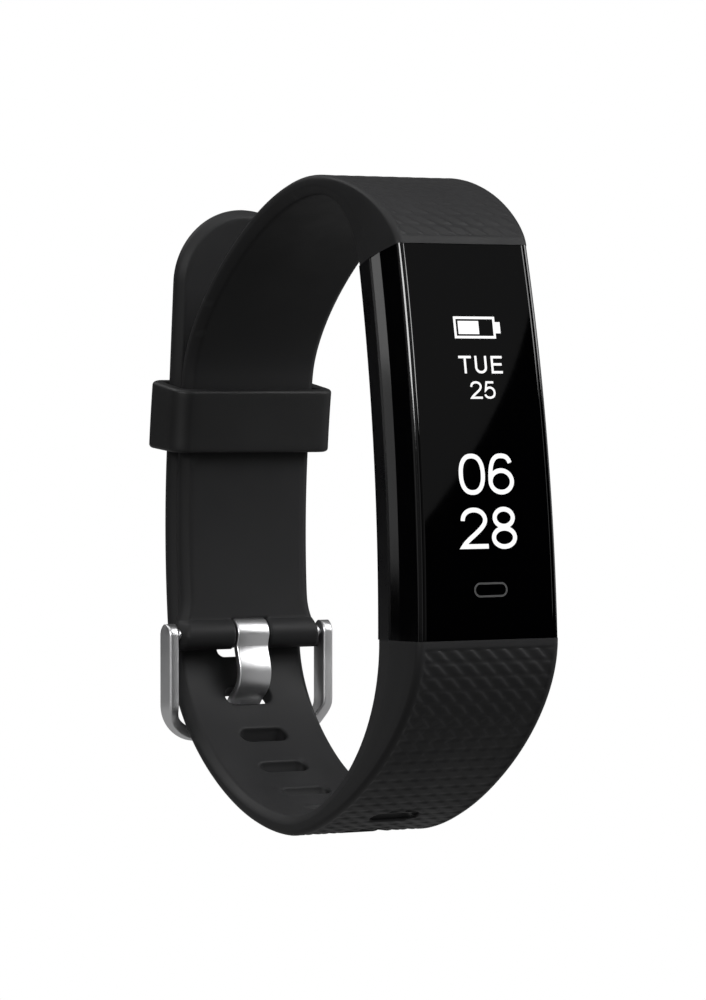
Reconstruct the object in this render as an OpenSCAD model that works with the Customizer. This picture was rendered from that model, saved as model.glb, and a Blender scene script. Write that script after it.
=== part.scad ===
// Fitness tracker band, closed as it is worn. Millimetres.
// X runs across the band, -Y points out of the display, +Z is up on the display.
// The origin is the middle of the wrist opening.

/* [Module] */
// Width of the tracker module at its lower end
module_w = 17; // [16.6:0.1:17.4]
// How much narrower the module is at its upper end
module_taper = 1.2; // [1:0.1:1.4]
// Thickness of the tracker module, glass to back cover
module_t = 9.4; // [9.2:0.1:9.8]
// Half of the angle that the module spans on its front curve, degrees
module_half_angle = 6.18; // [6.1:0.02:6.3]
// Radius of the front glass along the arm
front_r = 190; // [188:1:192]
// Distance from the wrist centre to the middle of the glass
glass_y = 29.44; // [29.3:0.02:29.6]
// Height of the middle of the glass above the wrist centre
glass_z = 7.11; // [7:0.01:7.2]
// Tilt of the module, degrees
module_tilt = 7.35; // [7.2:0.05:7.5]
// Thickness of the front glass
lens_t = 0.9; // [0.8:0.05:1]
// Depth of the flat sides, from the glass to the split line
side_depth = 5.9; // [5.7:0.1:6.1]
// Wall of the housing and of the back cover
wall = 0.8; // [0.7:0.05:0.9]

/* [Straps] */
// Width of the straps away from the module
strap_w = 16.4; // [16:0.1:16.6]
// Thickness of the thin part of a strap
strap_t = 2; // [1.9:0.05:2.1]
// Radius of the outer face of the upper strap behind the wrist
back_r = 100; // [100:1:100]
// Centre height of that curve
back_z = -3.2; // [-3.3:0.1:-3.1]
// Where that outer face reaches furthest back
back_y = 23.3; // [23.2:0.1:23.4]
// Gap between the upper strap and the tail that lies on it
tail_gap = 0.6; // [0.5:0.05:0.7]
// Highest point of the upper strap
crown_z = 34.9; // [34.8:0.1:35.2]
// Lowest point of the lower strap, below the wrist centre
sole_z = 35.4; // [35.2:0.1:35.6]
// Distance from one slot to the next
slot_pitch = 5.6; // [5.5:0.05:5.7]
// Length of a slot across the strap
slot_w = 6.2; // [6:0.1:6.4]
// Width of a slot along the strap
slot_h = 2.4; // [2.2:0.05:2.6]
// Number of slots towards the tip from the one that holds the tongue
slots_above = 8; // [6:1:8]
// Number of slots towards the module from the one that holds the tongue
slots_below = 6; // [4:1:6]

/* [Keeper] */
// Height of the keeper loop along the strap
keeper_h = 7.3; // [7:0.1:7.6]
// Wall of the keeper loop
keeper_wall = 1.3; // [1.2:0.05:1.4]
// Where the keeper rests on the back curve, degrees above its centre
keeper_angle = 7.1; // [6.9:0.1:7.1]

/* [Buckle] */
// Distance of the spring bar behind the wrist centre
bar_y = 21.3; // [21.3:0.1:21.3]
// Distance of the spring bar below the wrist centre
bar_z = 15.1; // [15.1:0.1:15.1]
// Radius of the end tube of the upper strap
end_tube_r = 1.7; // [1.6:0.05:1.75]
// Outer width of the buckle frame
frame_w = 20.8; // [20.7:0.1:21]
// Thickness of the frame's arms across the band
arm_t = 1.2; // [1.1:0.05:1.3]
// Depth of the frame's arms from front to back
arm_d = 2.6; // [2.4:0.1:2.7]
// Width of the tongue
tongue_w = 4; // [3.8:0.1:4.2]
// Thickness of the tongue
tongue_t = 0.9; // [0.8:0.05:0.95]

/* [Hidden] */
$fn = 96;
clear = 0.1;      // fitting gap between parts that do not move on each other
run = 0.05;       // running gap of a pin in its hole
eps = 0.01;       // overlap that makes a cut clean
STEPS = 18;       // points on one stretch of curve

// The module's curved surfaces share one axis
back_face_r = front_r - module_t;
split_r = front_r - side_depth;
lens_r = front_r - lens_t;
cover_r = back_face_r + wall;
end_wall = 1.3;
module_axis = [front_r * cos(module_tilt) - glass_y, glass_z - front_r * sin(module_tilt)];

// The back of the band is concentric about one axis
back_axis = [back_y - back_r, back_z];
tail_in_r = back_r + tail_gap;
tail_out_r = tail_in_r + strap_t;
strap_leave = 10;   // the upper strap leaves the back curve here, degrees
tail_leave = 5;     // the tail goes on straight from here, degrees
tail_join = -8;     // the lower strap meets the back curve here, degrees
tail_straight = 26.9;
tail_round = strap_w / 2;

// Angle on the module's front curve for a length along it
function turn(mm) = mm / front_r * 180 / PI;

// ---- curves in the side view, as [y, z] ----
function polar(c, r, a) = [c[0] + r * cos(a), c[1] + r * sin(a)];
function arc(c, r, a0, a1, n) = [for (i = [0:n]) polar(c, r, a0 + (a1 - a0) * i / n)];
function bend(p, hp, lp, q, hq, lq) =
    let (a = p + lp * [cos(hp), sin(hp)], b = q - lq * [cos(hq), sin(hq)])
    [for (i = [1:STEPS]) let (t = i / STEPS, s = 1 - t)
        s * s * s * p + 3 * s * s * t * a + 3 * s * t * t * b + t * t * t * q];
function on_module(r, side) = polar(module_axis, r, 180 - module_tilt - side * module_half_angle);
function turned(v, a) = [v[0] * cos(a) - v[1] * sin(a), v[0] * sin(a) + v[1] * cos(a)];
function lengths(path, i = 1, sum = 0) = i == len(path) ? [sum]
    : concat([sum], lengths(path, i + 1, sum + norm(path[i] - path[i - 1])));
function heading(path, i) = atan2(path[i + 1][1] - path[i][1], path[i + 1][0] - path[i][0]);
function stretch(sums, s) = len([for (v = sums) if (v <= s) v]) - 1;
function at(path, sums, s) = let (i = stretch(sums, s), a = heading(path, i))
    [path[i] + (s - sums[i]) * [cos(a), sin(a)], a];

// Module ends: heading of the front curve at the top and at the bottom
top_heading = 90 - module_tilt - module_half_angle;
low_heading = -90 - module_tilt + module_half_angle;

crown = [-8.5, crown_z];
crown_in = [-8.5, crown_z - strap_t - 0.1];
sole = [-2.5, -sole_z];
sole_in = [-2, -sole_z + strap_t + 0.1];

upper_outer = concat(
    [on_module(front_r, 1)],
    bend(on_module(front_r, 1), top_heading, 3, crown, 0, 9),
    bend(crown, 0, 12, polar(back_axis, back_r, strap_leave), strap_leave - 90, 8),
    arc(back_axis, back_r, strap_leave - 1, -asin((bar_z + back_z) / back_r), STEPS));
upper_inner = concat(
    [on_module(back_face_r, 1)],
    bend(on_module(back_face_r, 1), top_heading - 8, 4.5, crown_in, 0, 5),
    bend(crown_in, 0, 11, polar(back_axis, back_r - strap_t, strap_leave), strap_leave - 90, 8),
    arc(back_axis, back_r - strap_t, strap_leave - 1, -asin((bar_z + back_z) / back_r), STEPS));
lower_outer = concat(
    [on_module(front_r, -1)],
    bend(on_module(front_r, -1), low_heading, 10, sole, 0, 10),
    bend(sole, 0, 14, polar(back_axis, tail_out_r, tail_join), tail_join + 90, 8.5),
    arc(back_axis, tail_out_r, tail_join + 1, tail_leave, STEPS),
    [polar(back_axis, tail_out_r, tail_leave) + tail_straight * [-sin(tail_leave), cos(tail_leave)]]);
lower_inner = concat(
    [on_module(back_face_r, -1)],
    bend(on_module(back_face_r, -1), low_heading, 11, sole_in, 0, 9),
    bend(sole_in, 0, 13, polar(back_axis, tail_in_r, tail_join), tail_join + 90, 7.5),
    arc(back_axis, tail_in_r, tail_join + 1, tail_leave, STEPS),
    [polar(back_axis, tail_in_r, tail_leave) + tail_straight * [-sin(tail_leave), cos(tail_leave)]]);
lower_sums = lengths(lower_inner);
// The tongue goes through the slot that lies at this height
tongue_slot_z = -22;
tongue_leg = max([for (i = [STEPS:len(lower_inner) - 1]) if (lower_inner[i][1] < tongue_slot_z) i]);
tongue_slot = lower_sums[tongue_leg]
    + (tongue_slot_z - lower_inner[tongue_leg][1]) / sin(heading(lower_inner, tongue_leg));

// ---- helpers ----
// Extrudes a side view, drawn as [y, z], across the band
module across(w) {
    rotate([90, 0, 90]) linear_extrude(w, center = true) children();
}
// Moves to a point of the side view and turns about X
module place(p, a = 0) {
    translate([0, p[0], p[1]]) rotate([a, 0, 0]) children();
}
// Cylinder along X
module rod(r, w) {
    rotate([0, 90, 0]) cylinder(r = r, h = w, center = true);
}
// Sweeps a section, drawn as [radius, x], about the X axis through a point of the side view
module swept(axis, from, to) {
    translate([0, axis[0], axis[1]]) rotate([from, 0, 0]) rotate([0, 90, 0]) rotate([0, 0, 90])
        rotate_extrude(angle = to - from, $fn = 720) children();
}
// The same for the module: an angle to each side of its middle
module module_swept(half) {
    swept(module_axis, 180 - module_tilt - half, 180 - module_tilt + half) children();
}
// Local frame of the module: origin on the middle of the glass, +Y towards the wrist
module in_module() {
    translate([0, -glass_y, glass_z]) rotate([-module_tilt, 0, 0]) children();
}
// Box centred on x = 0 in the module's frame, from depth y0 to y1 and height z0 to z1
module slab(w, y0, y1, z0, z1, x = 0) {
    translate([x - w / 2, y0, z0]) cube([w, y1 - y0, z1 - z0]);
}
module rounded(w, h, r) {
    square([w - 2 * r, h], center = true);
    square([w, h - 2 * r], center = true);
    for (sx = [-1, 1], sy = [-1, 1])
        translate([sx * (w / 2 - r), sy * (h / 2 - r)]) circle(r);
}

// ---- tracker module ----
tab_depth = 7.3;      // the end tabs lie this deep behind the glass
top_tab = [11, 2, 4.4];     // width, thickness, length of the plain tab
plug_tab = [12, 2, 8.6];    // the same for the charging plug
contact_x = [-3.75, -1.25, 1.25, 3.75];
window_proud = 0.4;   // the flat sensor window stands out of the curved cover
window_z = -2;
end_z = front_r * sin(module_half_angle);
// Frame on a module end: +Y towards the wrist, -Z out of the module
module at_end(side) {
    place(on_module(front_r, side), -module_tilt - side * module_half_angle)
        mirror([0, 0, side > 0 ? 1 : 0]) children();
}
module tab(size, side, gap = 0) {
    at_end(side) slab(size[0] + 2 * gap, tab_depth - size[1] / 2 - gap, tab_depth + size[1] / 2 + gap,
        -size[2] - gap, end_wall / 2);
}
// One contact of the charging plug, let into the face of its tab
module contact(x, gap, proud) {
    face = tab_depth - plug_tab[1] / 2;
    at_end(-1) slab(1.7 + 2 * gap, face - proud, face + 0.3, -plug_tab[2] + 0.4 - gap, -1, x);
}
// Everything between the module's tapered sides, moved in by a distance
module between_sides(inset) {
    low = module_w / 2 - inset;
    high = low - module_taper / 2;
    slope = (high - low) / (2 * end_z);
    in_module() rotate([90, 0, 0]) linear_extrude(80, center = true) polygon([
        [low, -end_z], [low + 3 * end_z * slope, 2 * end_z], [-low - 3 * end_z * slope, 2 * end_z],
        [-low, -end_z], [-low, -2 * end_z], [low, -2 * end_z]
    ]);
}
// A layer of the module between two radii, set in from its sides and ends
module layer(r0, r1, side_inset = 0, end_inset = 0) {
    intersection() {
        module_swept(module_half_angle - turn(end_inset))
            translate([r0, -module_w]) square([r1 - r0, 2 * module_w]);
        between_sides(side_inset);
    }
}
module main_housing() {
    color([0.03, 0.03, 0.035]) difference() {
        layer(split_r, front_r);
        layer(lens_r, front_r + 1, 0.5 - 0.05, -1);
        layer(split_r - 1, lens_r + 1, 1.2, end_wall);
    }
}
module window_cut(gap) {
    in_module() translate([0, module_t, window_z]) rotate([90, 0, 0])
        linear_extrude(3, center = true) rounded(9 + 2 * gap, 12 + 2 * gap, 2.5 + gap);
}
module back_cover() {
    color([0.04, 0.04, 0.045]) difference() {
        union() {
            difference() {
                layer(back_face_r, split_r);
                layer(cover_r, split_r + 1, 1.2, end_wall);
            }
            tab(top_tab, 1);
            tab(plug_tab, -1);
        }
        window_cut(clear);
        for (x = contact_x) contact(x, 0.05, eps);
    }
}
module sensor_window() {
    color([0.02, 0.05, 0.04]) intersection() {
        window_cut(0);
        in_module() slab(module_w, module_t - wall, module_t + window_proud, -12, 12);
    }
}
module front_lens() {
    color([0.01, 0.01, 0.012]) layer(lens_r, front_r, 0.5);
}
module lens_adhesive() {
    color([0.1, 0.1, 0.1]) difference() {
        layer(lens_r - 0.2, lens_r - 0.05, 1.3, end_wall + 0.1);
        layer(lens_r - 1, lens_r + 1, 2, end_wall + 1.2);
    }
}
module cover_seal() {
    color([0.15, 0.15, 0.16]) difference() {
        layer(split_r - 0.4, split_r + 0.4, 1.3, end_wall + 0.1);
        layer(split_r - 1, split_r + 1, 1.9, end_wall + 0.7);
    }
}

// ---- inside the module ----
module display_panel() {
    color([0.02, 0.02, 0.03]) in_module() slab(12.2, 1.75, 2.85, -10, 16);
}
module display_flex() {
    color([0.75, 0.45, 0.12]) in_module() {
        slab(6, 1.9, 2.1, -13.4, -10.05);
        slab(6, 2.1, 3.05, -13.4, -13.2);
    }
}
module touch_pad() {
    color([0.7, 0.5, 0.2]) in_module() slab(5.4, 1.9, 2.1, -16.8, -14);
}
module main_board() {
    color([0.05, 0.25, 0.12]) in_module() slab(13.4, 3.1, 3.9, -18.2, 18.2);
}
module processor_chip() {
    color([0.08, 0.08, 0.08]) in_module() slab(5, 3.95, 4.75, 6, 11);
}
module motion_sensor_chip() {
    color([0.1, 0.1, 0.1]) in_module() slab(2, 3.95, 4.75, 0, 2, 3);
}
module antenna() {
    color([0.85, 0.85, 0.8]) in_module() slab(6, 3.95, 4.6, 16, 17.6);
}
module battery_cell() {
    color([0.75, 0.76, 0.78]) in_module() slab(12, 4.95, 7.75, -9.5, 15.5);
}
module battery_pad() {
    color([0.2, 0.2, 0.22]) in_module() slab(8, 4.8, 4.9, -8, 4, -1);
}
module sensor_board() {
    color([0.05, 0.3, 0.15]) in_module() slab(8.4, 7.8, 8.1, -7.6, 3.6);
}
module sensor_leds() {
    color([0.2, 0.9, 0.4]) in_module() for (z = [-5.4, 1.4]) slab(1.6, 8.12, 8.55, z - 0.8, z + 0.8);
}
module photodiode() {
    color([0.12, 0.12, 0.14]) in_module() slab(2.6, 8.12, 8.55, -3.3, -0.7);
}
motor_z = -13.6;
motor_y = 4.2;
motor_r = 3.5;
motor_h = 2.6;
module in_motor() {
    in_module() translate([0, motor_y, motor_z]) rotate([-90, 0, 0]) children();
}
module motor_case() {
    color([0.78, 0.79, 0.8]) in_motor() difference() {
        cylinder(r = motor_r, h = motor_h);
        translate([0, 0, 0.3]) cylinder(r = motor_r - 0.3, h = motor_h - 0.6);
    }
}
module motor_shaft() {
    color([0.6, 0.6, 0.62]) in_motor() translate([0, 0, 0.3]) cylinder(r = 0.4, h = motor_h - 0.6);
}
module motor_rotor() {
    color([0.55, 0.5, 0.45]) in_motor() difference() {
        union() {
            translate([0, 0, 0.6]) cylinder(r = 1, h = motor_h - 1.2);
            intersection() {
                translate([0, 0, 0.6]) cylinder(r = motor_r - 0.6, h = motor_h - 1.2);
                translate([-motor_r, 0, 0]) cube([2 * motor_r, motor_r, motor_h]);
            }
        }
        cylinder(r = 0.4 + run, h = motor_h);
    }
}
module usb_contacts() {
    color([0.85, 0.68, 0.3]) for (x = contact_x) contact(x, 0, 0);
}

// ---- straps ----
strap_front_y = -14;
// The front of a strap continues the module's tapered sides, the rest has one width
module strap_body(outer, inner) {
    outline = concat(outer, [for (i = [len(inner) - 1:-1:0]) inner[i]]);
    intersection() {
        across(strap_w) polygon(outline);
        translate([0, strap_front_y + 50, 0]) cube(100, center = true);
    }
    intersection() {
        across(2 * module_w) polygon(outline);
        translate([0, strap_front_y - 50, 0]) cube(100 + 2 * eps, center = true);
        between_sides(0);
    }
}
module upper_strap() {
    color([0.07, 0.07, 0.075]) difference() {
        union() {
            strap_body(upper_outer, upper_inner);
            place([bar_y, -bar_z]) rod(end_tube_r, frame_w - 2 * arm_t - 0.3);
        }
        place([bar_y, -bar_z]) rod(0.8, frame_w);
        place([bar_y, -bar_z]) rod(tongue_eye + 0.15, tongue_w + 0.6);
        translate([0, bar_y, -bar_z]) cube([tongue_w + 0.6, 8, 2 * tongue_eye + 0.3], center = true);
        tab(top_tab, 1, clear);
    }
}
module slot_cut(s) {
    spot = at(lower_inner, lower_sums, s);
    place(spot[0], spot[1]) {
        for (x = [-1, 1])
            translate([x * (slot_w - slot_h) / 2, 0, 0]) cylinder(d = slot_h, h = 9, center = true);
        cube([slot_w - slot_h, slot_h, 9], center = true);
    }
}
module lower_strap() {
    tip = len(lower_inner) - 1;
    color([0.07, 0.07, 0.075]) difference() {
        strap_body(lower_outer, lower_inner);
        for (i = [-slots_below:slots_above]) slot_cut(tongue_slot + i * slot_pitch);
        place(lower_inner[tip], heading(lower_inner, tip - 1)) translate([0, -tail_round, 0]) difference() {
            translate([0, 10, 0]) cube([30, 20, 12], center = true);
            cylinder(r = tail_round, h = 13, center = true);
        }
        tab(plug_tab, -1, clear);
    }
}
module keeper_loop() {
    half = keeper_h / 2 / back_r * 180 / PI;
    inner_r = back_r - strap_t - 0.4;
    outer_r = tail_out_r + 0.4;
    middle = (inner_r + outer_r) / 2;
    color([0.06, 0.06, 0.065]) swept(back_axis, keeper_angle - half, keeper_angle + half)
        translate([middle, 0]) difference() {
            rounded(outer_r - inner_r + 2 * keeper_wall, strap_w + 0.7 + 2 * keeper_wall, 1.9);
            rounded(outer_r - inner_r, strap_w + 0.7, 0.6);
        }
}

// ---- buckle ----
bar_r = 0.75;
spring_l = 6.2;       // short enough for both tips to be pressed in
ear_gap = frame_w / 2 - arm_t;
module spring_bar_tube() {
    color([0.7, 0.7, 0.72]) place([bar_y, -bar_z]) difference() {
        rod(bar_r, 2 * ear_gap - 0.6);
        rod(0.5 + run, frame_w);
    }
}
module spring_bar_spring() {
    color([0.6, 0.6, 0.62]) place([bar_y, -bar_z]) difference() {
        rod(0.48, spring_l);
        rod(0.3, 10);
    }
}
module spring_bar_tip(side) {
    color([0.75, 0.75, 0.77]) place([bar_y, -bar_z]) {
        translate([side * 6.1, 0, 0]) rod(0.5, 3.2);
        translate([side * (7 + frame_w / 2) / 2, 0, 0]) rod(0.35, frame_w / 2 - 7 - 0.3);
    }
}
module spring_bar_tip_left() {
    spring_bar_tip(-1);
}
module spring_bar_tip_right() {
    spring_bar_tip(1);
}
frame_low = 11.9;     // lower edge of the frame below the spring bar
cross_bar_h = 1.5;
cross_bar_in = 0.25;  // its inner face lies this far inside the spring bar, clear of the strap
corner_r = 3;
module frame_outline(w, low, r) {
    translate([0, -low / 2]) square([w, low - 2 * r], center = true);
    translate([0, -low / 2]) square([w - 2 * r, low], center = true);
    for (s = [-1, 1]) {
        translate([s * (w / 2 - r), r - low]) circle(r);
        translate([s * (w / 2 - r), -r]) square(2 * r, center = true);
    }
}
module buckle_frame() {
    color([0.8, 0.8, 0.81]) place([bar_y, -bar_z]) difference() {
        union() {
            rotate([90, 0, 0]) linear_extrude(arm_d, center = true) difference() {
                frame_outline(frame_w, frame_low, corner_r);
                translate([0, 1]) frame_outline(2 * ear_gap, frame_low - cross_bar_h + 1, corner_r - arm_t);
            }
            for (s = [-1, 1]) translate([s * (ear_gap + arm_t / 2), 0, 0]) rod(arm_d / 2, arm_t);
        }
        rod(0.35 + run, frame_w + 2);
        translate([0, -cross_bar_in - arm_d, -frame_low]) cube([2 * ear_gap, 2 * arm_d, 6], center = true);
    }
}
// The tongue in side view: an eye round the bar, then a wave through the slot to the cross bar
tongue_eye = bar_r + 0.1 + tongue_t;
tongue_line = concat(
    [[-tongue_eye + tongue_t / 2, 0]],
    bend([-tongue_eye + tongue_t / 2, 0], -88, 2, [-1.15, -4.4], -84, 1.6),
    bend([-1.15, -4.4], -84, 1.8, [1, -7.4], -40, 1),
    bend([1, -7.4], -40, 1.4, [1.95, -11.6], -94, 1.6));
function left_of(path, i, d) = let (a = heading(path, min(i, len(path) - 2)))
    path[i] + d * [-sin(a), cos(a)];
module buckle_tongue() {
    n = len(tongue_line) - 1;
    outline = concat(
        [for (i = [0:n]) left_of(tongue_line, i, tongue_t / 2)],
        [for (i = [n:-1:0]) left_of(tongue_line, i, -tongue_t / 2)]);
    color([0.82, 0.82, 0.83]) place([bar_y, -bar_z]) difference() {
        union() {
            rod(tongue_eye, tongue_w);
            across(tongue_w) polygon(outline);
        }
        rod(bar_r + 0.1, tongue_w + 1);
    }
}

main_housing();
back_cover();
front_lens();
lens_adhesive();
cover_seal();
sensor_window();
display_panel();
display_flex();
touch_pad();
main_board();
processor_chip();
motion_sensor_chip();
antenna();
battery_cell();
battery_pad();
sensor_board();
sensor_leds();
photodiode();
motor_case();
motor_shaft();
motor_rotor();
usb_contacts();
upper_strap();
lower_strap();
keeper_loop();
spring_bar_tube();
spring_bar_spring();
spring_bar_tip_left();
spring_bar_tip_right();
buckle_frame();
buckle_tongue();
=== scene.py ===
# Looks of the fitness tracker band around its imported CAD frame. Shapes are worked out in millimetres
# in the frame's axes (X across the band, -Y out of the display, +Z up) and made in metres.
import math

import bmesh
import bpy
import numpy as np
from mathutils import Matrix, Vector
from mathutils.geometry import delaunay_2d_cdt


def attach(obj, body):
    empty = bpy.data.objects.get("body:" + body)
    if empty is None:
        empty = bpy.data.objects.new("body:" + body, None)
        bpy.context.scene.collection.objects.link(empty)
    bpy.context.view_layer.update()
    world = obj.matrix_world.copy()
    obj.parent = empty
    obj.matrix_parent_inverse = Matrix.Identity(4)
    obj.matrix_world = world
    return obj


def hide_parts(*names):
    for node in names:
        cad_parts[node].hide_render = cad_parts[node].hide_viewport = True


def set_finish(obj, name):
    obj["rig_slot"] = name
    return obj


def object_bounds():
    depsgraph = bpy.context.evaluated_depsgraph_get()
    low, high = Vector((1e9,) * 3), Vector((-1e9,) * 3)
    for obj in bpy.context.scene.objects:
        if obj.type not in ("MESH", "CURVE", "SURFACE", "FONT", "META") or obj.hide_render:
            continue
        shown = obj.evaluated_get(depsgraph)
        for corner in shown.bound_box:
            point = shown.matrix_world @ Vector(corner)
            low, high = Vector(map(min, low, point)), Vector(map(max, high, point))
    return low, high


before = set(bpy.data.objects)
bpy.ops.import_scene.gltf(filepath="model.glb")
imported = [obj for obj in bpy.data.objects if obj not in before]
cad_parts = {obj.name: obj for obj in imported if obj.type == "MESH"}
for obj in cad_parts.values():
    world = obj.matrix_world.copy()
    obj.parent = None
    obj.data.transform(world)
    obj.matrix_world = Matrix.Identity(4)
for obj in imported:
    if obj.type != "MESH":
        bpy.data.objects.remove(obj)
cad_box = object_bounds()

MM = 0.001

# ---------------------------------------------------------------- measures, as in the CAD source
FRONT_R, MODULE_T, TILT, HALF = 190.0, 9.4, 7.35, 6.18
SIDE_DEPTH, WALL, LENS_T = 5.9, 0.8, 0.9
GLASS_Y, GLASS_Z = 29.44, 7.11
LOW_HALF_W, HIGH_HALF_W = 8.5, 7.9          # half width of the module at its lower and upper end
MODULE_AXIS = np.array([FRONT_R * math.cos(math.radians(TILT)) - GLASS_Y,
                        GLASS_Z - FRONT_R * math.sin(math.radians(TILT))])
BACK_AXIS = np.array([-76.7, -3.2])
BACK_R, STRAP_T = 100.0, 2.0
TAIL_IN_R, TAIL_OUT_R = 100.6, 102.6
BAR = np.array([21.3, -15.1])
TUBE_R = 1.7
TAIL_ROUND = 8.2
SLOT_PITCH, SLOT_W = 5.6, 5.7
TONGUE_SLOT_Z, SLOTS_BELOW, SLOTS_ABOVE = -22, 6, 8     # height of the tongue's slot, slots either side of it
NOTCH_HALF_W, NOTCH_UP = 2.15, 1.82
# Height of a slot and its slant on the way through the strap: the one with the tongue, the others
TONGUE_SLOT, OTHER_SLOT = (2.35, -0.55), (1.95, -0.8)


# ---------------------------------------------------------------- curves in the side view, [y, z]
def cosd(a):
    return np.cos(np.radians(a))


def sind(a):
    return np.sin(np.radians(a))


def polar(c, r, a):
    return np.array([c[0] + r * cosd(a), c[1] + r * sind(a)]).T


def bend(p, hp, lp, q, hq, lq, n=220):
    """Cubic curve from p to q that leaves and arrives on the given headings, without its first point."""
    p, q = np.array(p, float), np.array(q, float)
    a = p + lp * np.array([cosd(hp), sind(hp)])
    b = q - lq * np.array([cosd(hq), sind(hq)])
    t = (np.arange(1, n + 1) / n)[:, None]
    s = 1 - t
    return s**3 * p + 3 * s**2 * t * a + 3 * s * t**2 * b + t**3 * q


def on_module(r, side):
    return polar(MODULE_AXIS, r, 180 - TILT - side * HALF)


def along(points):
    return np.concatenate([[0], np.cumsum(np.linalg.norm(np.diff(points, axis=0), axis=1))])


def smooth(t):
    t = np.clip(t, 0, 1)
    return t * t * (3 - 2 * t)


BACK_FACE_R = FRONT_R - MODULE_T
TOP_HEADING = 90 - TILT - HALF
LOW_HEADING = -90 - TILT + HALF
# Highest and lowest points of the straps' outer and inner lines
CROWN, CROWN_IN = (-8.5, 34.9), (-8.5, 32.8)
SOLE, SOLE_IN = (-2.5, -35.4), (-2.0, -33.3)


def upper_curves():
    """Outer and inner line of the upper strap, and where it reaches the end tube."""
    arc = np.linspace(9.99, -4.6, 240)
    outer = np.vstack([[on_module(FRONT_R, 1)],
                       bend(on_module(FRONT_R, 1), TOP_HEADING, 3, CROWN, 0, 9),
                       bend(CROWN, 0, 12, polar(BACK_AXIS, BACK_R, 10), -80, 8),
                       polar(BACK_AXIS, BACK_R, arc)])
    inner = np.vstack([[on_module(BACK_FACE_R, 1)],
                       bend(on_module(BACK_FACE_R, 1), TOP_HEADING - 8, 4.5, CROWN_IN, 0, 5),
                       bend(CROWN_IN, 0, 11, polar(BACK_AXIS, BACK_R - STRAP_T, 10), -80, 8),
                       polar(BACK_AXIS, BACK_R - STRAP_T, arc)])
    # The tube: the two lines open round it and close again at its far side
    offset = BAR - BACK_AXIS
    bar_r = np.hypot(*offset)
    bar_angle = math.degrees(math.atan2(offset[1], offset[0]))
    start = math.radians(bar_angle + 4.6) * bar_r      # how far before the bar the arcs end
    run_in = np.linspace(start, -1.62, 60)[1:]
    turn = np.radians(np.linspace(-72, 90, 120))[1:]
    step = np.concatenate([run_in, TUBE_R * np.sin(turn)])
    round_half = np.sqrt(np.maximum(TUBE_R**2 - step**2, 0))
    round_half[step < -TUBE_R + 0.08] = -3

    def open_to(flat, ring, k=0.22):
        """The larger of two half heights, with a small fillet between them."""
        return np.where(step > 0, ring, k * np.logaddexp(flat / k, ring / k))
    out_h = open_to(BACK_R - bar_r, round_half)
    in_h = open_to(bar_r - BACK_R + STRAP_T, round_half)
    fade = smooth((step + 0.9) / 0.9)
    out_h, in_h = (h * (1 - fade) + round_half * fade for h in (out_h, in_h))
    angle = bar_angle - np.degrees(step / bar_r)
    outer = np.vstack([outer, polar(BACK_AXIS, bar_r + out_h, angle)])
    inner = np.vstack([inner, polar(BACK_AXIS, bar_r - in_h, angle)])
    return outer, inner


def lower_curves():
    arc = np.linspace(-7.97, 5, 240)
    straight = np.linspace(0.05, 26.9, 120)[:, None] * np.array([-sind(5), cosd(5)])
    outer = np.vstack([[on_module(FRONT_R, -1)],
                       bend(on_module(FRONT_R, -1), LOW_HEADING, 10, SOLE, 0, 10),
                       bend(SOLE, 0, 14, polar(BACK_AXIS, TAIL_OUT_R, -8), 82, 8.5),
                       polar(BACK_AXIS, TAIL_OUT_R, arc),
                       polar(BACK_AXIS, TAIL_OUT_R, 5) + straight])
    inner = np.vstack([[on_module(BACK_FACE_R, -1)],
                       bend(on_module(BACK_FACE_R, -1), LOW_HEADING, 11, SOLE_IN, 0, 9),
                       bend(SOLE_IN, 0, 13, polar(BACK_AXIS, TAIL_IN_R, -8), 82, 7.5),
                       polar(BACK_AXIS, TAIL_IN_R, arc),
                       polar(BACK_AXIS, TAIL_IN_R, 5) + straight])
    return outer, inner


# ---------------------------------------------------------------- meshes
def new_object(name, verts, faces, sharp=40):
    mesh = bpy.data.meshes.new(name)
    mesh.from_pydata((np.asarray(verts) * MM).tolist(), [], [list(map(int, f)) for f in faces])
    obj = bpy.data.objects.new(name, mesh)
    bpy.context.scene.collection.objects.link(obj)
    bm = bmesh.new()
    bm.from_mesh(mesh)
    bmesh.ops.remove_doubles(bm, verts=bm.verts, dist=2e-6)
    bmesh.ops.dissolve_degenerate(bm, edges=bm.edges, dist=1e-6)
    edges = [e for e in bm.edges if e.is_boundary]
    if edges:
        bmesh.ops.holes_fill(bm, edges=edges, sides=0)
    bmesh.ops.recalc_face_normals(bm, faces=bm.faces)
    bm.to_mesh(mesh)
    bm.free()
    mesh.shade_smooth()
    mesh.set_sharp_from_angle(angle=math.radians(sharp))
    return obj


def grid_faces(n, m, close_n=False, close_m=False, start=0):
    """Quads of an n by m grid of points, joined end to end where asked."""
    i, j = np.meshgrid(np.arange(n if close_n else n - 1), np.arange(m if close_m else m - 1),
                       indexing="ij")
    i, j = i.ravel(), j.ravel()
    ni, nj = (i + 1) % n, (j + 1) % m
    return (np.stack([i * m + j, i * m + nj, ni * m + nj, ni * m + j], 1) + start).tolist()


def loft(sections, close_n=False, close_m=True):
    """Vertices and faces of a skin over sections, an array of shape (n, m, 3)."""
    n, m = sections.shape[:2]
    return sections.reshape(-1, 3), grid_faces(n, m, close_n, close_m)


def capped(sections):
    """The same with both ends closed."""
    verts, faces = loft(sections)
    n, m = sections.shape[:2]
    return verts, faces + [list(range(m)), list(range((n - 1) * m, n * m))]


def merged(*parts):
    """Several meshes, each vertices and faces, as one."""
    verts, faces, count = [], [], 0
    for v, f in parts:
        verts.append(v)
        faces += [[k + count for k in face] for face in f]
        count += len(v)
    return np.vstack(verts), faces


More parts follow.
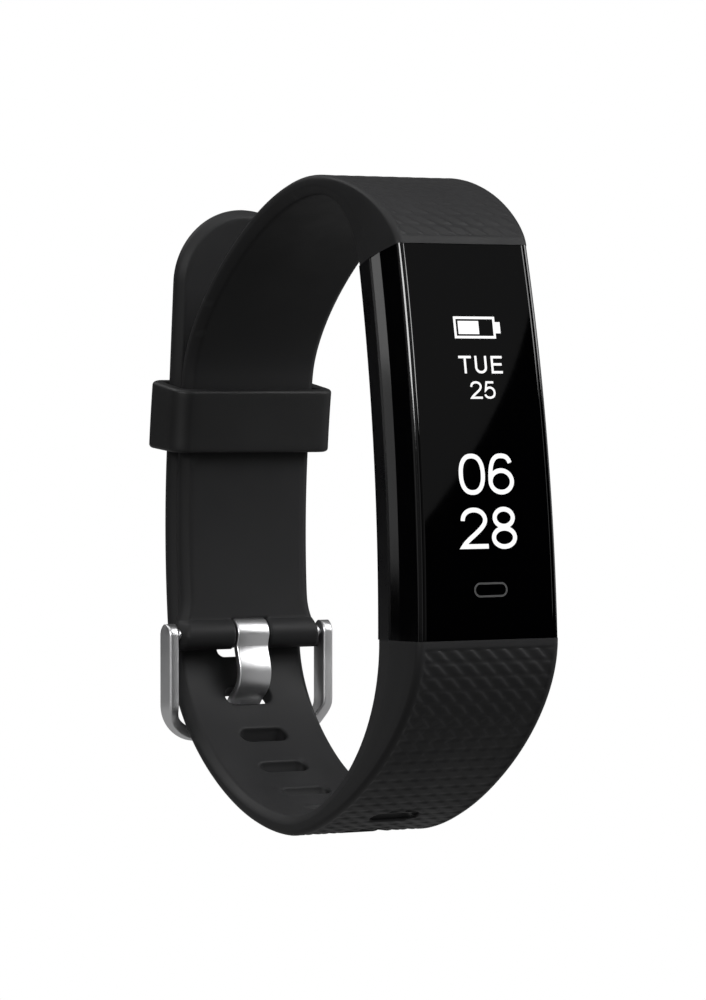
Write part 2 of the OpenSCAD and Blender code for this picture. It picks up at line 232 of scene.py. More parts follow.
def round_drop(d, r):
    """How far a rounded edge of radius r has fallen, at distance d inside the edge."""
    inside = np.clip(r - d, 0, r)
    return r - np.sqrt(np.maximum(r * r - inside * inside, 0))


EDGE_R = 0.65
# Insets of the rings of points that follow a rounded edge, as shares of its radius
EDGE_RINGS = (0, 0.04, 0.16, 0.36, 0.66, 1.0)
BEVEL_IN = 0.75       # how far the inner bevel of a strap reaches in from its side
INNER_RINGS = (0, 0.05, 0.3, BEVEL_IN - 0.15, BEVEL_IN, BEVEL_IN + 0.15)
SLOT_LIP = 0.32
# Spacing of the points inside a face: on plain stretches, on the texture and round the end tube
FINE_GRID = 0.14
GRID, TUBE_GRID, TUBE_END, GRID_HALF_W = 0.5, 0.2, 5, 8.6
ROW_PITCH, RIB_PITCH, RIB_HEIGHT = 1.53, 1.95, 0.15


class Strap:
    """A strap as two height fields, outer and inner, over its flat outline (s along it, x across it)."""

    def __init__(self, outer, inner, widths, tail, slots, notch, texture):
        self.outer, self.inner = outer, inner
        self.s = (along(outer) + along(inner)) / 2
        self.length = self.s[-1]
        fine = np.arange(0, self.length + 3, 0.25)
        raw = np.interp(fine, [w[0] for w in widths], [w[1] for w in widths])
        kernel = np.ones(9) / 9
        padded = np.pad(raw, 8, mode="edge")
        self.w_s, self.w = fine, np.convolve(np.convolve(padded, kernel, "same"), kernel, "same")[8:-8]
        self.tail, self.slots, self.notch, self.texture = tail, slots, notch, texture

    def half_width(self, s):
        return np.interp(s, self.w_s, self.w)

    def inset(self, s, x):
        side = self.half_width(s) - np.abs(x)
        if not self.tail:
            return side
        centre = self.length - TAIL_ROUND
        return np.where(s > centre, TAIL_ROUND - np.hypot(s - centre, x), side)

    def from_slot(self, s, x, skewed=0):
        """Distance outside the nearest slot or the notch, negative inside it."""
        d = np.full(np.shape(s), 1e3)
        for slot, height, skew in self.slots:
            d = np.minimum(d, np.hypot(np.maximum(np.abs(x) - (SLOT_W - height) / 2, 0),
                                       s - slot - skewed * skew) - height / 2)
        if self.notch:
            dx, ds = np.abs(x) - NOTCH_HALF_W, self.notch - s
            d = np.minimum(d, np.where((dx > 0) & (ds > 0), np.hypot(dx, ds), np.maximum(dx, ds)))
        return d

    def ribs(self, s, x, inset):
        """Height of the moulded texture: slanted ribs in rows across the strap."""
        start, end, fade, slant = self.texture
        row = (s - start) / ROW_PITCH
        in_row = row - np.floor(row)
        phase = (x - slant * in_row * ROW_PITCH) / RIB_PITCH
        phase = phase - np.floor(phase)
        ridge = np.where(phase < 0.72, smooth(phase / 0.72), smooth((1 - phase) / 0.28))
        window = smooth((in_row - 0.02) / 0.24) * smooth((0.98 - in_row) / 0.2)
        mask = smooth((s - start) / 0.25) * smooth((end - s) / fade) * smooth((inset - 0.75) / 0.25)
        return mask * RIB_HEIGHT * (1 - ridge * (0.12 + 0.88 * window))

    def thickness(self, s):
        o, i = self.lines(s)
        return np.linalg.norm(o - i, axis=-1)

    def lines(self, s):
        return [np.stack([np.interp(s, self.s, line[:, k]) for k in (0, 1)], -1)
                for line in (self.outer, self.inner)]

    def at(self, s, x, share):
        """Point at a share of the way from the outer to the inner face."""
        o, i = self.lines(s)
        p = o + (i - o) * np.asarray(share)[..., None]
        return np.concatenate([np.asarray(x)[..., None], p], -1)

    def edge_r(self, s):
        return EDGE_R + 0.1 * (smooth((s - self.length + 5) / 2) if self.notch else 0)

    def depth_out(self, s, x):
        thick = self.thickness(s)
        inset = self.inset(s, x)
        drop = round_drop(inset, self.edge_r(s)) + round_drop(self.from_slot(s, x, 1), SLOT_LIP)
        drop = np.minimum(drop, 0.45 * thick) + self.ribs(s, x, inset)
        return drop / np.maximum(thick, 1e-6)

    def depth_in(self, s, x):
        thick = self.thickness(s)
        inset = np.maximum(self.inset(s, x), 0)
        bevel = np.minimum(0.36 * thick + 0.18, 0.42 * thick)
        rise = bevel * (1 - inset / BEVEL_IN)
        soft = 0.15
        near = np.abs(inset - BEVEL_IN) < soft
        rise = np.where(near, bevel / BEVEL_IN * (BEVEL_IN + soft - inset) ** 2 / (4 * soft),
                        np.maximum(rise, 0))
        rise = rise + 0.1 * np.minimum(1, thick) * np.clip(1 - inset / 0.05, 0, 1)
        drop = rise + round_drop(self.from_slot(s, x), SLOT_LIP)
        return 1 - np.minimum(drop, 0.5 * thick) / np.maximum(thick, 1e-6)

    def side_stations(self):
        end = self.length - TAIL_ROUND if self.tail else self.length
        count = int(end / 0.28)
        s = np.linspace(0, end, count + 1)
        if self.notch:      # closer together round the end tube
            s = np.concatenate([s[s < end - TUBE_END], np.linspace(end - TUBE_END, end, 60)])
        return s

    def outline(self, inset):
        """Open lines of (s, x) points that follow the sides at an inset."""
        s = self.side_stations()
        side = np.stack([s, self.half_width(s) - inset], 1)
        mirror = side[::-1] * [1, -1]
        if not self.tail:
            return [side, mirror]
        centre = self.length - TAIL_ROUND
        turn = np.radians(np.linspace(90, -90, 91))[1:-1]
        r = TAIL_ROUND - inset
        cap = np.stack([centre + r * np.cos(turn), r * np.sin(turn)], 1)
        side[-1, 1] = TAIL_ROUND - inset
        mirror[0, 1] = inset - TAIL_ROUND
        return [np.vstack([side, cap, mirror])]

    def slot_ring(self, slot, height, out):
        turn = np.radians(np.linspace(0, 360, 48, endpoint=False) + 3.75)
        shift = np.where(np.cos(turn) > 0, 1, -1) * (SLOT_W - height) / 2
        r = height / 2 + out
        return np.stack([slot + r * np.sin(turn), shift + r * np.cos(turn)], 1)

    def notch_line(self, out):
        top = self.notch
        turn = np.radians(np.linspace(0, 90, 7)) if out else np.zeros(1)
        stations = self.side_stations()
        legs = stations[stations > top + 0.05]
        right = np.stack([legs[::-1], np.full(len(legs), NOTCH_HALF_W + out)], 1)
        corner = np.stack([top - out * np.sin(turn), NOTCH_HALF_W + out * np.cos(turn)], 1)
        half = np.vstack([right, corner])
        across = np.linspace(NOTCH_HALF_W, -NOTCH_HALF_W, 16)[1:-1]
        top_line = np.stack([np.full(len(across), top - out), across], 1)
        return np.vstack([half, top_line, half[::-1] * [1, -1]])

    def face(self, insets, lips, depth, fine, skewed):
        """One face of the strap: triangles over its outline, bent to shape."""
        points, edges = [], []

        def add(line, closed=False):
            first = sum(map(len, points))
            points.append(line)
            edges.extend((first + k, first + k + 1) for k in range(len(line) - 1))
            if closed:
                edges.append((first + len(line) - 1, first))
        for inset in insets:
            for line in self.outline(inset):
                add(line)
        for slot, height, skew in self.slots:
            for lip in lips:
                add(self.slot_ring(slot + skewed * skew, height, lip), closed=True)
        if self.notch:
            for lip in lips:
                add(self.notch_line(lip))
        blocks = [(0, self.length, GRID)]
        if fine:
            start, end = self.texture[0] - 0.3, self.texture[1] + 0.3
            blocks = [(0, start, GRID), (start, end, FINE_GRID), (end, self.length, GRID)]
        if self.notch:
            low, high, step = blocks.pop()
            tube = self.length - TUBE_END
            blocks += [(low, tube, step), (tube, self.length, TUBE_GRID)]
        for low, high, step in blocks:
            s = np.arange(low + step / 2, high, step)
            half = int(GRID_HALF_W / step) * step
            x = np.arange(-half, half + step / 2, step)
            cell = np.stack(np.meshgrid(s, x, indexing="ij"), -1).reshape(-1, 2)
            keep = (self.inset(cell[:, 0], cell[:, 1]) > insets[-1] + 0.4 * step) \
                & (self.from_slot(cell[:, 0], cell[:, 1], skewed) > lips[-1] + 0.4 * step)
            points.append(cell[keep])
        across = np.arange(-7, 7.01, 0.5)
        points.append(np.stack([np.zeros(len(across)), across], 1))
        if not self.tail:
            wide = across[np.abs(across) > NOTCH_HALF_W + 0.4]
            points.append(np.stack([np.full(len(wide), self.length), wide], 1))
        flat = np.vstack(points)
        out = delaunay_2d_cdt([Vector(p) for p in flat.tolist()], edges, [], 0, 1e-7, False)
        verts = np.array([tuple(v) for v in out[0]])
        faces = np.array(out[2])
        centre = verts[faces].mean(1)
        keep = (self.inset(centre[:, 0], centre[:, 1]) > -1e-6) \
            & (self.from_slot(centre[:, 0], centre[:, 1], skewed) > -1e-5)
        return self.at(verts[:, 0], verts[:, 1], depth(verts[:, 0], verts[:, 1])), faces[keep].tolist()

    def wall(self, line, closed=False, shift=0.0):
        """The wall between the two faces along a line of the outline, shifted on the outer face."""
        s, x = line[:, 0], line[:, 1]
        top, low = self.depth_out(s + shift, x), self.depth_in(s, x)
        rows = [self.at(s + shift * (1 - t), x, top + (low - top) * t) for t in (0, 0.33, 0.67, 1)]
        return loft(np.stack(rows), close_m=closed)

    def build(self, name):
        lips = [SLOT_LIP * k for k in EDGE_RINGS]
        parts = [self.face([EDGE_R * k for k in EDGE_RINGS], lips, self.depth_out, True, 1),
                 self.face(list(INNER_RINGS), lips, self.depth_in, False, 0)]
        parts += [self.wall(line) for line in self.outline(0)]
        parts += [self.wall(self.slot_ring(slot, height, 0), True, skew)
                  for slot, height, skew in self.slots]
        if self.notch:
            parts.append(self.wall(self.notch_line(0)))
        verts, faces = merged(*parts)
        return new_object(name, verts, faces)


upper_outer, upper_inner = upper_curves()
lower_outer, lower_inner = lower_curves()

upper_len = (along(upper_outer)[-1] + along(upper_inner)[-1]) / 2
# Each strap's half width is given as (distance from the module, half width)
upper = Strap(upper_outer, upper_inner,
              [(0, 7.9), (4, 7.98), (14, 8.38), (26, 8.35), (45, 8.2), (upper_len - 7, 8.02),
               (upper_len - 5.4, 8.05), (upper_len - 3.4, 8.95), (upper_len - 2.6, 9.05),
               (upper_len + 3, 9.05)],
              tail=False, slots=[], notch=upper_len - 2.67 - NOTCH_UP, texture=(1.0, 27.0, 5.0, -1.03))
# Slots follow the inner line, starting from the one that the tongue goes through
lower = Strap(lower_outer, lower_inner, [(0, 8.5), (24, 8.5), (48, 8.2), (200, 8.2)],
              tail=True, slots=[], notch=None, texture=(0.8, 44.0, 4.0, 1.03))
inner_s = along(lower_inner)
leg = np.where((lower_inner[:, 1] < TONGUE_SLOT_Z) & (lower_inner[:, 0] > 0))[0].max()
tongue_slot = inner_s[leg] + (TONGUE_SLOT_Z - lower_inner[leg, 1]) / sind(
    math.degrees(math.atan2(*(lower_inner[leg + 1] - lower_inner[leg])[::-1])))
lower.slots = [(float(np.interp(tongue_slot + k * SLOT_PITCH, inner_s, lower.s)),
                *(OTHER_SLOT if k else TONGUE_SLOT)) for k in range(-SLOTS_BELOW, SLOTS_ABOVE + 1)]


# ---------------------------------------------------------------- tracker module
END_Z = FRONT_R * math.sin(math.radians(HALF))


def module_half_w(a):
    """Half width of the tapered module at an angle along its curve."""
    middle, slope = (LOW_HALF_W + HIGH_HALF_W) / 2, (LOW_HALF_W - HIGH_HALF_W) / 2
    return middle - slope * FRONT_R * sind(a) / END_Z


def curve_point(x, depth, a):
    """Points of the module at a depth behind the glass and an angle along its curve."""
    r, turn = FRONT_R - depth, np.radians(180 - TILT - a)
    return np.stack([x, MODULE_AXIS[0] + r * np.cos(turn), MODULE_AXIS[1] + r * np.sin(turn)], -1)


def module_loft(section, low, high, n=48):
    """A solid along the module: section gives its (x, depth) outline for the half width at an angle."""
    rows = []
    for a in np.linspace(low, high, n):
        outline = np.array(section(float(module_half_w(a))))
        rows.append(curve_point(outline[:, 0], outline[:, 1], np.full(len(outline), a)))
    return capped(np.stack(rows))


def turn_for(mm):
    return math.degrees(mm / FRONT_R)


def quarter(cx, cd, r, start, end, n=6):
    """Points of a rounded corner of a section, (x, depth)."""
    t = np.radians(np.linspace(start, end, n))
    return [(cx + r * math.cos(v), cd + r * math.sin(v)) for v in t]


RIM_R, GROOVE, BARREL = 0.45, 0.06, 0.16
INNER_IN = 1.2        # how far the inner faces of the module's walls lie in from its sides
# The side's facets: how far it lies in from the full width, at depths behind the rim
FACET_DEPTHS = (0, 3.5, 3.6, 3.8, 3.9, 5.9)
FACET_INS = (0.15, 0.01, 0.006, 0.006, 0.012, 0.13)


def housing_side(side):
    """Side wall of the housing: a slightly barrelled face, a rounded rim and the seat of the lens."""
    def section(w):
        depths = [SIDE_DEPTH - GROOVE - 0.12, 5.2, 4.5, 4.05, 3.95, 3.85, 3.75, 3.65, 3.55, 3.45,
                  3, 2.2, 1.4, 0.7, RIM_R]
        face = [(w - np.interp(d, FACET_DEPTHS, FACET_INS), d) for d in depths]
        rim = quarter(w - 0.137 - RIM_R, RIM_R, RIM_R, 0, -90, 8)
        seat = [(w - 0.59, 0.0), (w - 0.61, 0.05), (w - 0.61, LENS_T), (w - INNER_IN, LENS_T),
                (w - INNER_IN, SIDE_DEPTH - GROOVE), (w - BARREL - 0.14, SIDE_DEPTH - GROOVE)]
        return [(side * x, d) for x, d in face + rim + seat]
    return section


def box_section(w_in, d0, d1):
    return lambda w: [(-(w - w_in), d0), (w - w_in, d0), (w - w_in, d1), (-(w - w_in), d1)]


def end_walls(d0, d1):
    """The walls across both ends of the module, between two depths."""
    inner_end = HALF - turn_for(1.3)
    return [module_loft(box_section(INNER_IN, d0, d1), *sorted((side * HALF, side * inner_end)), n=4)
            for side in (-1, 1)]


housing = merged(*[module_loft(housing_side(side), -HALF, HALF) for side in (-1, 1)],
                 *end_walls(LENS_T, SIDE_DEPTH - GROOVE))


def lens_section(w):
    edge = w - 0.64
    r = 0.3
    right = quarter(edge - r, r * 0.8, r, -90, 0, 7)
    right = [(x, max(d + 0.2 * r, 0)) for x, d in right]
    flat = np.linspace(-(edge - r - 0.03), edge - r - 0.03, 9)
    left = [(-x, d) for x, d in right[::-1]]
    return left + [(x, 0.0) for x in flat] + right + [(edge, LENS_T - 0.02), (-edge, LENS_T - 0.02)]


def cover_section(w):
    top = SIDE_DEPTH + GROOVE
    side = [(w - BARREL - 0.14, top), (w - 0.06, top + 0.14), (w - 0.10, top + 0.4), (w - 0.62, 9.06)]
    soft = quarter(w - 0.62 - 0.35, MODULE_T - 0.42, 0.42, 10, 90, 7)
    half = [(w - INNER_IN, top)] + side + soft
    floor_in = [(-(w - INNER_IN), MODULE_T - WALL), (w - INNER_IN, MODULE_T - WALL)]
    return half + [(-x, d) for x, d in half[::-1]] + floor_in


def end_point(side, x, depth, out):
    """Point beyond a module end: depth towards the wrist, out along the strap."""
    a = math.radians(180 - TILT - side * HALF)
    base = MODULE_AXIS + (FRONT_R - np.asarray(depth))[..., None] * np.array([math.cos(a), math.sin(a)])
    away = -side * np.array([-math.sin(a), math.cos(a)])
    return np.concatenate([np.asarray(x)[..., None], base + np.asarray(out)[..., None] * away], -1)


def tab(side, width, thick, length, depth=7.3):
    """The tab at one end of the module that a strap plugs on to."""
    rows = []
    for out, shrink in ((-0.6, 0), (0.4, 0), (length - 0.4, 0), (length - 0.1, 0.1), (length, 0.35)):
        w, t = width / 2 - shrink, thick / 2 - shrink
        turn = np.radians(np.arange(22.5, 360, 45))
        r = 0.35
        x = np.sign(np.cos(turn)) * (w - r) + r * np.cos(turn)
        d = depth + np.sign(np.sin(turn)) * (t - r) + r * np.sin(turn)
        rows.append(end_point(side, x, d, np.full(8, out)))
    return capped(np.stack(rows))


def window_rings():
    """The sensor window: a rounded plate that stands proud of the cover, with a soft edge."""
    w, h, r = 4.5, 6.0, 2.5
    turn = np.radians(np.linspace(0, 360, 96, endpoint=False) + 1.9)
    cx, cz = np.sign(np.cos(turn)) * (w - r), np.sign(np.sin(turn)) * (h - r)
    rows = []
    for shrink, depth in ((0, 8.7), (0, 9.52), (0.03, 9.64), (0.1, 9.74), (0.22, 9.8), (0.6, 9.8),
                          (0.7, 9.77)):
        x = cx + (r - shrink) * np.cos(turn)
        z = cz + (r - shrink) * np.sin(turn)
        rows.append(in_module(x, np.full(len(x), depth), z - 2))
    return capped(np.stack(rows))


def in_module(x, depth, z):
    """Point in the module's own straight frame, from the middle of the glass."""
    c, s = math.cos(math.radians(TILT)), math.sin(math.radians(TILT))
    return np.stack([x, -GLASS_Y + depth * c + z * s, GLASS_Z - depth * s + z * c], -1)


# ---------------------------------------------------------------- keeper, buckle and tongue
def round_rect(w, h, r, per_corner=14):
    """Closed outline of a rounded rectangle, (a, b), with the same number of points for any size."""
    out = []
    for k, (sa, sb) in enumerate(((1, 1), (-1, 1), (-1, -1), (1, -1))):
        t = np.radians(np.linspace(90 * k, 90 * k + 90, per_corner))
        out += [(sa * (w - r) + r * math.cos(v), sb * (h - r) + r * math.sin(v)) for v in t]
    return np.array(out)


def dense(outline, step):
    """Adds points to the long straight stretches of a closed outline."""
    out = []
    for p, q in zip(outline, np.roll(outline, -1, axis=0)):
        n = max(1, int(np.linalg.norm(q - p) / step))
        out += [p + (q - p) * k / n for k in range(n)]
    return np.array(out)


KEEPER_ANGLE, KEEPER_H, KEEPER_WALL, KEEPER_R = 7.1, 7.3, 1.3, 100.3
# Half depth, half width and corner of the loop's opening and of its outside
KEEPER_IN, KEEPER_OUT = (2.7, 8.6, 0.6), (4.0, 10.05, 1.9)


def keeper_mesh():
    """The keeper loop, bent to the curve of the straps that it slides on."""
    inner, outer = round_rect(*KEEPER_IN), round_rect(*KEEPER_OUT)
    steps = [max(1, int(np.linalg.norm(d) / 0.7)) for d in np.roll(outer, -1, axis=0) - outer]

    def divided(line):
        following = np.roll(line, -1, axis=0)
        return np.vstack([[line[k] + (following[k] - line[k]) * j / n for j in range(n)]
                          for k, n in enumerate(steps)])
    inner, outer = divided(inner), divided(outer)
    section = dense(round_rect(KEEPER_WALL / 2, KEEPER_H / 2, 0.42, 7), 0.5)
    share, up = section[:, 0] / KEEPER_WALL + 0.5, section[:, 1]
    flat = inner[:, None] + (outer - inner)[:, None] * share[None, :, None]
    angle = np.radians(KEEPER_ANGLE + np.degrees(up / BACK_R))
    r = KEEPER_R + flat[..., 0]
    points = np.stack([flat[..., 1], BACK_AXIS[0] + r * np.cos(angle),
                       BACK_AXIS[1] + r * np.sin(angle)], -1)
    return loft(points, close_n=True)


ARM_X, ARM_T, ARM_D, ARM_LOW = 9.8, 1.2, 2.6, -7.7     # place, thickness, depth and end of the arms
CORNER_RX, CORNER_RZ = 3.6, 3.45
CROSS_FRONT = 0.25    # the cross bar's front face lies this far in front of the spring bar's middle


def frame_mesh():
    """The buckle frame: a flat bar bent to a U, with round ends that sit on the spring bar."""
    stations = []       # x, z, heading of the bar, its thickness, front and back face
    half = ARM_D / 2
    for t in np.radians(np.linspace(86, 0, 14)):
        stations.append((-ARM_X, half * math.sin(t), -90, ARM_T, -half * math.cos(t), half * math.cos(t)))
    for z in np.linspace(-0.4, -7.5, 22):
        stations.append((-ARM_X, z, -90, ARM_T, -half, half))
    for k in range(1, 17):
        t = k / 16
        a = math.radians(180 + 90 * t)
        inward = smooth(t / 0.45)
        stations.append((CORNER_RX - ARM_X + CORNER_RX * math.cos(a), ARM_LOW + CORNER_RZ * math.sin(a),
                         -90 + 90 * t, ARM_T + 0.3 * t, -half + (half - CROSS_FRONT) * inward, half))
    for x in np.linspace(-5.8, 0, 8):
        stations.append((x, ARM_LOW - CORNER_RZ, 0, ARM_T + 0.3, -CROSS_FRONT, half))
    rows = []
    for x, z, heading, thick, front, back in stations:
        depth = (back - front) / 2
        r = min(0.3, 0.45 * depth, 0.45 * thick)
        line = round_rect(thick / 2, max(depth, 0.05), r, 5)
        side = np.array([math.cos(math.radians(heading - 90)), math.sin(math.radians(heading - 90))])
        px, pz = x + line[:, 0] * side[0], z + line[:, 0] * side[1]
        rows.append(np.stack([px, BAR[0] + (front + back) / 2 + line[:, 1], BAR[1] + pz], -1))
    rows = np.array(rows)
    mirror = rows[:-1][::-1] * [-1, 1, 1]
    return capped(np.vstack([rows, mirror]))


def tongue_line():
    """The tongue's middle line in side view: an eye round the bar, then a wave to the cross bar."""
    wrap = np.radians(np.linspace(-62, 180, 60))
    eye = 1.30 * np.stack([np.cos(wrap), np.sin(wrap)], 1)
    wave = [bend((-1.3, 0), -78, 0.5, (-0.97, -1.4), -97, 0.4, 24),
            bend((-0.97, -1.4), -97, 1.1, (-1.72, -4.4), -86, 1.2, 40),
            bend((-1.72, -4.4), -86, 1.6, (0.25, -7.15), -42, 1.0, 40),
            bend((0.25, -7.15), -42, 1.6, (1.95, -11.6), -94, 2.0, 40)]
    return np.vstack([eye] + wave)


def tongue_mesh():
    line = tongue_line()
    s = along(line)
    heading = np.gradient(line, axis=0)
    heading /= np.linalg.norm(heading, axis=1)[:, None]
    normal = np.stack([-heading[:, 1], heading[:, 0]], 1)
    rows = []
    for p, nrm, here in zip(line, normal, s):
        rest = min(here, s[-1] - here)
        round_off = math.sqrt(max(0.0, 1 - (1 - min(rest, 0.5) / 0.5) ** 2))
        wide = 2.0 - (0.5 - 0.5 * round_off) - 0.25 * smooth((here - s[-1] + 3) / 3)
        thick = 0.45 * max(round_off, 0.12)
        section = round_rect(wide, thick, min(0.2, 0.8 * thick), 5)
        yz = BAR + p + section[:, 1:2] * nrm
        rows.append(np.column_stack([section[:, 0], yz]))
    return capped(np.array(rows))


pieces = {}


def piece(name, mesh, body, slot, *nodes, sharp=40):
    obj = mesh if isinstance(mesh, bpy.types.Object) else new_object(name, *mesh, sharp=sharp)
    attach(obj, body)
    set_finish(obj, slot)
    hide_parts(*nodes)
    pieces[name] = obj


piece("upper_strap_skin", upper.build("upper_strap_skin"), "band", "strap_rubber", "upper_strap")
piece("lower_strap_skin", lower.build("lower_strap_skin"), "band", "strap_rubber", "lower_strap")
piece("housing_shell", housing, "band", "housing_gloss", "main_housing", sharp=28)
piece("lens_cover", module_loft(lens_section, -HALF + 0.02, HALF - 0.02),
      "band", "lens_glass", "front_lens", sharp=28)
back = merged(module_loft(cover_section, -HALF, HALF), *end_walls(SIDE_DEPTH + GROOVE, MODULE_T - WALL),
              tab(1, 11, 2, 4.4), tab(-1, 12, 2, 8.6))
piece("back_shell", back, "band", "cover_plastic", "back_cover", sharp=28)
piece("window_plate", window_rings(), "band", "window_tint", "sensor_window", sharp=28)
piece("keeper_skin", keeper_mesh(), "keeper", "keeper_rubber", "keeper_loop")
piece("buckle_frame_skin", frame_mesh(), "buckle", "steel", "buckle_frame", sharp=35)
piece("buckle_tongue_skin", tongue_mesh(), "tongue", "steel", "buckle_tongue", sharp=35)


# ---------------------------------------------------------------- read-out on the display
def stroke(path, width, closed=False):
    """A thin solid line of even width along a path of (x, z) points on the glass."""
    path = np.array(path, float)
    if closed:
        ahead, behind = np.roll(path, -1, axis=0), np.roll(path, 1, axis=0)
    else:
        ahead, behind = np.vstack([path[1:], path[-1:]]), np.vstack([path[:1], path[:-1]])
    to, come = ahead - path, path - behind
    if not closed:
        to[-1], come[0] = come[-1], to[0]
    to /= np.linalg.norm(to, axis=1)[:, None]
    come /= np.linalg.norm(come, axis=1)[:, None]
    middle = to + come
    middle /= np.linalg.norm(middle, axis=1)[:, None]
    normal = np.stack([-middle[:, 1], middle[:, 0]], 1)
    mitre = 1 / np.maximum((middle * to).sum(1), 0.4)
    side = normal * (mitre * width / 2)[:, None]
    left, right = path + side, path - side
    rows = np.stack([on_glass(left, PROUD), on_glass(right, PROUD),
                     on_glass(right, -SUNK), on_glass(left, -SUNK)], 1)
    verts, faces = loft(rows, close_n=closed)
    if not closed:
        last = 4 * (len(path) - 1)
        faces += [[0, 1, 2, 3], [last, last + 1, last + 2, last + 3]]
    return verts, faces


PROUD, SUNK = 0.012, 0.03


def on_glass(p, out):
    """Points of the glass surface at (x, z), raised by a little."""
    y = MODULE_AXIS[0] - np.sqrt((FRONT_R + out) ** 2 - (p[:, 1] - MODULE_AXIS[1]) ** 2)
    return np.column_stack([p[:, 0], y, p[:, 1]])


def ellipse(cx, cz, a, b, n=48, power=1.0, start=0, end=360):
    t = np.radians(np.linspace(start, end, n, endpoint=(end - start) % 360 != 0))
    c, v = np.cos(t), np.sin(t)
    return np.stack([cx + a * np.sign(c) * abs(c) ** power,
                     cz + b * np.sign(v) * abs(v) ** power], 1)


def join(*paths):
    return np.vstack([np.array(p, float) for p in paths])


def glyph_paths(sign, w):
    """Centre lines of a sign in a box one unit high, for a stroke of width w, as (path, closed)."""
    h = w / 2
    right = {"0": 0.64, "2": 0.6, "5": 0.62, "6": 0.62, "8": 0.62,
             "T": 0.7, "U": 0.7, "E": 0.68}[sign]
    lo, hi, l, r = h, 1 - h, h, right - h
    m = (l + r) / 2
    if sign == "0":
        return [(ellipse(m, 0.5, m - l, 0.5 - h, 64, 0.86), True)], right
    if sign == "8":
        return [(ellipse(m, 0.745, (m - l) * 0.86, 0.255 - h + 0.01, 48), True),
                (ellipse(m, 0.265, m - l, 0.265 - h + 0.015, 48), True)], right
    if sign == "6":
        loop = ellipse(m, 0.32, m - l, 0.32 - h, 48)
        top = bend((r - 0.03, 0.77), 105, 0.16, (m, hi), 180, 0.1, 14)
        tail = join([(r - 0.03, 0.77)], top, bend((m, hi), 180, 0.2, (l, 0.34), -90, 0.34, 26))
        return [(loop, True), (tail, False)], right
    if sign == "5":
        bowl = join(bend((l + 0.03, 0.49), 50, 0.1, (m, 0.64), 0, 0.1, 12),
                    bend((m, 0.64), 0, 0.17, (r, 0.34), -90, 0.14, 16),
                    bend((r, 0.34), -90, 0.19, (m - 0.02, lo), 180, 0.14, 16),
                    bend((m - 0.02, lo), 180, 0.12, (l, 0.25), 100, 0.1, 12))
        return [(join([(r - 0.03, hi), (l + 0.1, hi), (l + 0.03, 0.49)], bowl), False)], right
    if sign == "2":
        top = join([(l, 0.68)], bend((l, 0.68), 90, 0.16, (m, hi), 0, 0.14, 14),
                   bend((m, hi), 0, 0.15, (r, 0.7), -90, 0.12, 14))
        down = bend((r, 0.7), -90, 0.22, (l, lo), -118, 0.24, 22)
        return [(join(top, down, [(r + h, lo)]), False)], right
    if sign == "T":
        return [([(0, hi), (right, hi)], False), ([(m, hi), (m, 0)], False)], right
    if sign == "E":
        return [([(right, hi), (l, hi), (l, lo), (right, lo)], False),
                ([(l, 0.52), (right - 0.04, 0.52)], False)], right
    bowl = ellipse(m, lo + m - l, m - l, m - l, 24, start=180, end=360)
    return [(join([(l, 1)], bowl, [(r, 1)]), False)], right


def written(sign, x0, x1, z0, z1, weight):
    """A sign fitted to a box on the glass."""
    paths, width = glyph_paths(sign, weight)
    scale = np.array([(x1 - x0) / width, z1 - z0])
    return [stroke(np.array(p) * scale + [x0, z0], weight * (z1 - z0), closed) for p, closed in paths]


# A generic weekday, date and time: each sign with its box on the glass and the weight of its stroke
readout = []
for sign, x0, x1, z0, z1, weight in (
        ("0", -3.1, 0.1, 1.5, 5.7, 0.115), ("6", 0.4, 3.55, 1.5, 5.7, 0.115),
        ("2", -3.18, 0.12, -4.0, 0.2, 0.115), ("8", 0.5, 3.6, -4.0, 0.2, 0.115),
        ("T", -2.1, -0.6, 13.9, 15.7, 0.14), ("U", -0.2, 1.25, 13.9, 15.7, 0.14),
        ("E", 1.75, 3.1, 13.9, 15.7, 0.14),
        ("2", -0.99, 0.44, 11.3, 13.1, 0.125), ("5", 0.63, 2.04, 11.3, 13.1, 0.125)):
    readout += written(sign, x0, x1, z0, z1, weight)
# The battery sign: its box, its line, the height of its middle and where the charge ends
x0, x1, z0, z1 = -2.28, 2.66, 17.49, 19.74
BATTERY_LINE, BATTERY_Z, CHARGE_X = 0.26, 18.61, 0.69
in_x0, in_x1, in_z0, in_z1 = (v + k * BATTERY_LINE / 2 for v, k in zip((x0, x1, z0, z1), (1, -1, 1, -1)))
readout.append(stroke([(in_x0, in_z0), (in_x1, in_z0), (in_x1, in_z1), (in_x0, in_z1)], BATTERY_LINE, True))
readout.append(stroke([(x1, BATTERY_Z), (x1 + 0.6, BATTERY_Z)], 1.15))
readout.append(stroke([(x0 + 0.5, BATTERY_Z), (CHARGE_X, BATTERY_Z)], 1.35))
piece("display_readout", merged(*readout), "band", "display_lit")
pill = ellipse(0, 0, 0.66, 0.66, 40)
pill[:, 0] += np.where(pill[:, 0] > 0, 1.24, -1.24)
piece("touch_key_ring", stroke(pill + [0.22, -8.2], 0.2, True), "band", "display_dim")


# ---------------------------------------------------------------- materials
def new_material(name):
    mat = bpy.data.materials.new(name)
    mat.use_nodes = True
    return mat, mat.node_tree.nodes, mat.node_tree.links, mat.node_tree.nodes["Principled BSDF"]


def set_up(node, **values):
    """Sets inputs of a node, whose names have _ here where they have a space."""
    for key, value in values.items():
        node.inputs[key.replace("_", " ")].default_value = value
    return node


